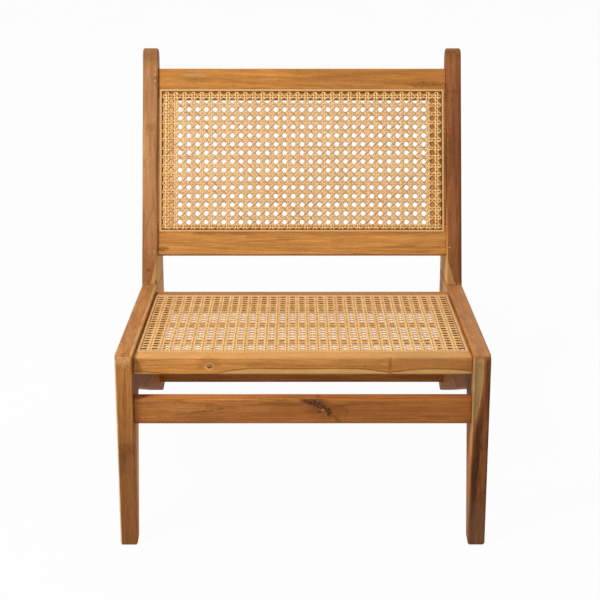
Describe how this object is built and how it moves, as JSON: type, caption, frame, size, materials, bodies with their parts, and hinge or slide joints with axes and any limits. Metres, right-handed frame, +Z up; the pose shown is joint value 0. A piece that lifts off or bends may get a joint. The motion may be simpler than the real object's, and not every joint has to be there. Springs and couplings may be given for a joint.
{
  "type": "lounge chair",
  "caption": "Low armless lounge chair in teak: tapered side frames with mitred legs and raked posts carry a sloping caned seat and a caned back.",
  "frame": {"origin": "on the floor, in the middle of the chair's length and width", "axes": "+Z up, -Y towards the front of the chair, +X to the right as seen from the front; left and right in the node names are as seen from the front"},
  "size_m": [0.6, 0.7548, 0.6579],
  "materials": {
    "leg_left_wood": "satin oiled teak",
    "leg_right_wood": "satin oiled teak with sapwood",
    "side_rail_wood": "satin oiled teak",
    "rear_foot_wood": "satin oiled teak",
    "post_left_wood": "satin oiled teak",
    "post_right_wood": "satin oiled teak, darker",
    "tenon_wood": "raw teak",
    "front_stretcher_wood": "satin oiled teak, reddish",
    "rear_stretcher_wood": "satin oiled teak, reddish",
    "seat_rail_wood": "satin oiled teak, golden",
    "seat_stile_wood": "satin oiled teak",
    "slat_wood": "satin oiled teak",
    "back_rail_wood": "satin oiled teak, golden",
    "back_stile_wood": "satin oiled teak",
    "cane": "natural rattan cane, satin",
    "spline_reed": "natural reed, satin",
    "brad_steel": "bright steel"
  },
  "bodies": {
    "root": {"front_leg_left": "leg_left_wood", "front_leg_right": "leg_right_wood", "side_rail_left": "side_rail_wood", "side_rail_right": "side_rail_wood", "rear_foot_left": "rear_foot_wood", "rear_foot_right": "rear_foot_wood", "back_post_left": "post_left_wood", "back_post_right": "post_right_wood", "leg_tenon_left": "tenon_wood", "leg_tenon_right": "tenon_wood", "post_tenons_left": "tenon_wood", "post_tenons_right": "tenon_wood", "front_stretcher": "front_stretcher_wood", "rear_stretcher": "rear_stretcher_wood", "seat_rail_front": "seat_rail_wood", "seat_rail_rear": "seat_rail_wood", "seat_stile_left": "seat_stile_wood", "seat_stile_right": "seat_stile_wood", "seat_slat_front": "slat_wood", "seat_slat_rear": "slat_wood", "seat_cane": "cane", "seat_spline_front": "spline_reed", "seat_spline_rear": "spline_reed", "seat_spline_left": "spline_reed", "seat_spline_right": "spline_reed", "back_rail_top": "back_rail_wood", "back_rail_bottom": "back_rail_wood", "back_stile_left": "back_stile_wood", "back_stile_right": "back_stile_wood", "back_cane": "cane", "back_spline_top": "spline_reed", "back_spline_bottom": "spline_reed", "back_spline_left": "spline_reed", "back_spline_right": "spline_reed", "tenon_brads": "brad_steel"}
  },
  "joints": []
}
